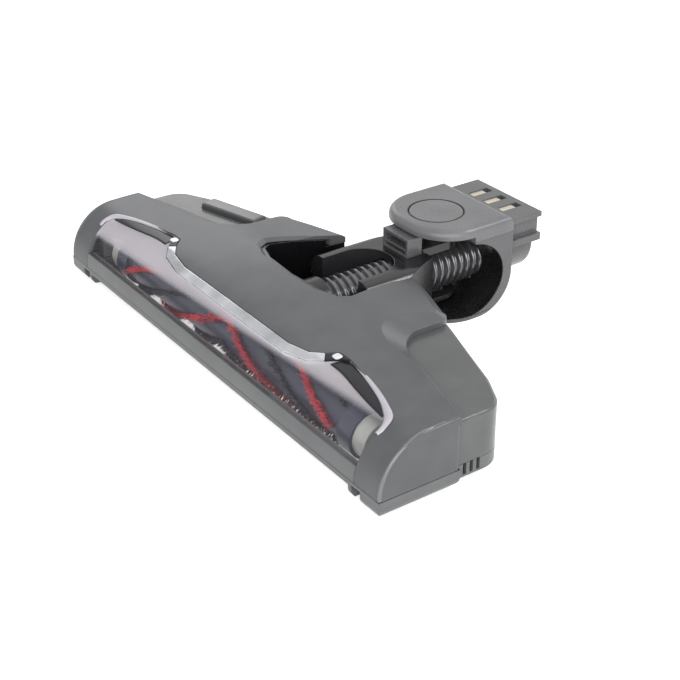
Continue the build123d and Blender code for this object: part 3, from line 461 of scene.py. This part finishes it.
def filament(x, angle, lean, reach, sway):
    """Points of one tapered filament, a root and a tip in turn."""
    points = []
    for corner in range(FILAMENT_SIDES):
        turn = corner * math.tau / FILAMENT_SIDES
        across, shift = FILAMENT_R * math.cos(turn), FILAMENT_R * math.sin(turn)
        offset = Vector((0, -math.sin(angle), math.cos(angle))) * across * MM
        root = on_roll(x + shift, CORE_R, angle)
        tip = on_roll(x + shift * TIP_SHARE + sway, reach, lean)
        points += [root + offset, tip + offset * TIP_SHARE]
    return points


def filament_faces(base):
    """Sides and both ends of the filament whose first point has this number."""
    roots = [base + 2 * corner for corner in range(FILAMENT_SIDES)]
    sides = [(a, b, b + 1, a + 1) for a, b in zip(roots, roots[1:] + roots[:1])]
    return sides + [tuple(roots[::-1]), tuple(root + 1 for root in roots)]


def bristle_row(name, node, starts, tip_radius, material):
    """Bundles of tapered filaments along helical lines that turn opposite ways from the middle."""
    rng = random.Random(BRISTLE_SEED)
    points, faces = [], []
    count = int(2 * ROW_HALF / TUFT_STEP) * TUFT_STRANDS
    for start in starts:
        for index in range(count):
            x = -ROW_HALF + index * TUFT_STEP / TUFT_STRANDS + rng.uniform(-SPREAD_X, SPREAD_X)
            angle = math.radians(start + TWIST_PER_MM * abs(x) + rng.gauss(0, SPREAD_ANGLE))
            lean = angle + rng.gauss(0, SPREAD_LEAN)
            reach = tip_radius - rng.uniform(0.0, SPREAD_REACH)
            sway = rng.gauss(0, SPREAD_SWAY)
            faces += filament_faces(len(points))
            points += filament(x, angle, lean, reach, sway)
    piece = mesh_piece(name, points, faces, material)
    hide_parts(node)
    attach(piece, "brush_roll")


bristle_row("red_filaments", "bristles_red", RED_STARTS, TIP_R, RED)
bristle_row("dark_filaments", "bristles_dark", DARK_STARTS, DARK_TIP_R, DARK)


# Hoses

def spiral_hose(name, node, start, end):
    """Spiral-wire hose along Y: a soft wall that swells over a helical wire."""
    rows = int((end - start) / HOSE_ROW)
    points = []
    for row in range(rows + 1):
        y = start + (end - start) * row / rows
        for step in range(HOSE_AROUND):
            turn = math.tau * step / HOSE_AROUND
            wave = math.cos(math.tau * y / HOSE_PITCH - turn)
            swell = math.copysign(abs(wave) ** HOSE_BULGE, wave)
            radius = HOSE_R - HOSE_DEPTH + HOSE_DEPTH * swell
            points.append(at(radius * math.cos(turn), y, HOSE_Z + radius * math.sin(turn)))
    piece = mesh_piece(name, points, tube_faces(rows + 1, HOSE_AROUND, closed=False), RUBBER)
    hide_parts(node)
    return piece


front_hose = spiral_hose("hose_front_spiral", "hose_front", *FRONT_HOSE)
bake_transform(front_hose)
rear_hose = spiral_hose("hose_rear_spiral", "hose_rear", *REAR_HOSE)
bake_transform(rear_hose)


# Pedal coil

def coil_spring(name, node):
    """Wire coil under the pedal, at one fixed length."""
    rows = SPRING_TURNS * SPRING_PER_TURN
    points = []
    for row in range(rows + 1):
        turn = math.tau * row / SPRING_PER_TURN
        rise = (SPRING_TOP - SPRING_BASE - 2 * SPRING_WIRE) * row / rows
        for step in range(SPRING_AROUND):
            swing = math.tau * step / SPRING_AROUND
            radius = SPRING_R + SPRING_WIRE * math.cos(swing)
            height = SPRING_BASE + SPRING_WIRE + rise + SPRING_WIRE * math.sin(swing)
            x = SPRING_AT[0] + radius * math.cos(turn)
            y = SPRING_AT[1] + radius * math.sin(turn)
            points.append(at(x, y, height))
    piece = mesh_piece(name, points, tube_faces(rows + 1, SPRING_AROUND), STEEL)
    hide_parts(node)
    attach(piece, "head")
    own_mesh(piece)


coil_spring("pedal_coil", "pedal_spring")


# Rims and dark walls at the window's ends

def bar_surface(y):
    """Height of the bar's round front at a distance from the front edge."""
    if y >= BAR_R:
        return SEAM_Z + BAR_R
    return SEAM_Z + math.sqrt(BAR_R ** 2 - (BAR_R - y) ** 2)


def smooth_point(path, share):
    """Point at a share of the way along a Catmull-Rom curve through plan points, counted by their spans."""
    spot = share * (len(path) - 1)
    index = min(int(spot), len(path) - 2)
    t = spot - index
    before, after = path[max(index - 1, 0)], path[min(index + 2, len(path) - 1)]
    point = []
    for a, b, c, d in zip(before, path[index], path[index + 1], after):
        square = 2 * a - 5 * b + 4 * c - d
        cube = 3 * (b - c) + d - a
        point.append(b + t * (c - a + t * (square + t * cube)) / 2)
    return point


def strip(name, side, outer, inner, crown, material):
    """Band on the bar's front between two plan lines, raised along its middle as a parabola."""
    points, faces = [], []
    for row in range(STRIP_STEPS + 1):
        x_out, y_out = smooth_point(outer, row / STRIP_STEPS)
        x_in, y_in = smooth_point(inner, row / STRIP_STEPS)
        for column in range(STRIP_ACROSS + 1):
            part = column / STRIP_ACROSS
            x, y = x_in + (x_out - x_in) * part, y_in + (y_out - y_in) * part
            lift = STRIP_LIFT + crown * 4 * part * (1 - part)
            points.append(at(side * x, y, bar_surface(y) + lift))
    for row in range(STRIP_STEPS):
        for column in range(STRIP_ACROSS):
            a = row * (STRIP_ACROSS + 1) + column
            faces.append((a, a + 1, a + STRIP_ACROSS + 2, a + STRIP_ACROSS + 1))
    piece = mesh_piece(name, points, faces if side < 0 else flipped(faces), material)
    solid = piece.modifiers.new("thickness", "SOLIDIFY")
    solid.thickness = STRIP_LIFT * MM
    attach(piece, "head")


for label, sign in SIDES.items():
    strip("window_rim_" + label, sign, RIM_OUT, RIM_IN, RIM_CROWN, RIM)
    strip("window_wedge_" + label, sign, WEDGE_OUT, WEDGE_IN, WEDGE_CROWN, LAMP)


# End beads

def end_bead(name, side):
    """Rounded glossy edge along the arc at the bar's end and on back along its top, coloured lighter than
    the cover as a painted highlight.
    """
    rows = [(math.pi / 2 * row / BEAD_STEPS, 0.0) for row in range(BEAD_STEPS + 1)]
    rows.append((math.pi / 2, END_BACK - BAR_R))
    points = []
    for rise, back in rows:
        proud = END_PROUD * min(1.0, rise / math.radians(END_RUN))
        for step in range(BEAD_AROUND):
            swing = math.tau * step / BEAD_AROUND
            radius = BAR_R + proud - END_BEAD_R * (1 - math.sin(swing))
            x = side * (END_X - END_BEAD_R + END_BEAD_R * math.cos(swing))
            y = BAR_R - radius * math.cos(rise) + back
            points.append(at(x, y, SEAM_Z + radius * math.sin(rise)))
    faces = tube_faces(len(rows), BEAD_AROUND)
    piece = mesh_piece(name, points, faces if side > 0 else flipped(faces), EDGE_HIGHLIGHT)
    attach(piece, "head")


for label, sign in SIDES.items():
    end_bead("end_edge_" + label, sign)


# Lamp lenses

def lens(name, side):
    """Small rounded lamp lens standing on the end of the light strip."""
    points = []
    for scale, lift in LENS_RINGS:
        for corner in range(LENS_CORNERS):
            turn = math.tau * (corner + 0.5) / LENS_CORNERS
            nearest = max(abs(math.cos(turn)), abs(math.sin(turn)))
            grow = LENS_HALF * scale / nearest ** LENS_SQUARENESS
            x = side * (LENS_AT[0] + grow * math.cos(turn))
            points.append(at(x, LENS_AT[1] + grow * math.sin(turn), LENS_AT[2] + lift))
    faces = tube_faces(len(LENS_RINGS), LENS_CORNERS)
    piece = mesh_piece(name, points, faces if side < 0 else flipped(faces), GLOW, smooth=False)
    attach(piece, "head")


for label, sign in SIDES.items():
    lens("lamp_lens_" + label, sign)


# Stage: pale floor, white surroundings, soft lights and the camera

def background_rays(tree):
    """1 for the rays that show the background: seen directly, mirrored or through clear plastic."""
    rays = tree.nodes.new("ShaderNodeLightPath")
    sharp = math_node(tree, "MAXIMUM", rays.outputs["Is Glossy Ray"], rays.outputs["Is Transmission Ray"])
    return math_node(tree, "MAXIMUM", rays.outputs["Is Camera Ray"], sharp)


def white_floor():
    """Large pale square at the object's feet."""
    paint, tree, shader = new_material("floor_white")
    set_inputs(shader, {"Base Color": FLOOR_COLOUR, "Roughness": FLOOR_ROUGHNESS})
    set_inputs(shader, {"Specular IOR Level": 0.0, "Emission Color": WHITE})
    pale = math_node(tree, "MULTIPLY", background_rays(tree), FLOOR_PALE)
    tree.links.new(pale, shader.inputs["Emission Strength"])
    corners = [(-1, -1), (1, -1), (1, 1), (-1, 1)]
    points = [(x * FLOOR_HALF, y * FLOOR_HALF, 0) for x, y in corners]
    return mesh_piece("floor", points, [(0, 1, 2, 3)], paint, smooth=False)


def white_world():
    """White to the rays that show the background, and a dimmer fill to the rest."""
    world = bpy.data.worlds.new("studio")
    bpy.context.scene.world = world
    world.use_nodes = True
    tree = world.node_tree
    background = tree.nodes["Background"]
    background.inputs["Color"].default_value = WHITE
    level = tree.nodes.new("ShaderNodeMapRange")
    set_inputs(level, {"To Min": WORLD_FILL, "To Max": WORLD_SEEN})
    tree.links.new(background_rays(tree), level.inputs["Value"])
    tree.links.new(level.outputs["Result"], background.inputs["Strength"])


def soft_light(name, place, aim_height, size, power):
    """Rectangular light that faces a point above the origin."""
    data = bpy.data.lights.new(name, "AREA")
    data.shape = "RECTANGLE"
    data.size, data.size_y = size
    data.energy = power
    light = bpy.data.objects.new(name, data)
    light.location = place
    aim = Vector((0, 0, aim_height)) - Vector(place)
    light.rotation_euler = aim.to_track_quat("-Z", "Y").to_euler()
    bpy.context.scene.collection.objects.link(light)


def photo_camera():
    """Camera that sees the object as the photograph does."""
    data = bpy.data.cameras.new("camera")
    data.sensor_width = SENSOR_WIDTH
    data.lens = FOCAL_LENGTH
    camera = bpy.data.objects.new("camera", data)
    facing = Vector(CAMERA_LOOK).to_track_quat("-Z", "Y").to_matrix().to_4x4()
    roll = Matrix.Rotation(math.radians(CAMERA_ROLL), 4, "Z")
    camera.matrix_world = Matrix.Translation(CAMERA_PLACE) @ facing @ roll
    bpy.context.scene.collection.objects.link(camera)
    bpy.context.scene.camera = camera


floor = white_floor()
white_world()
for light_name, light_values in SOFT_LIGHTS.items():
    soft_light(light_name, *light_values)
photo_camera()
bpy.context.scene.view_settings.view_transform = "Standard"
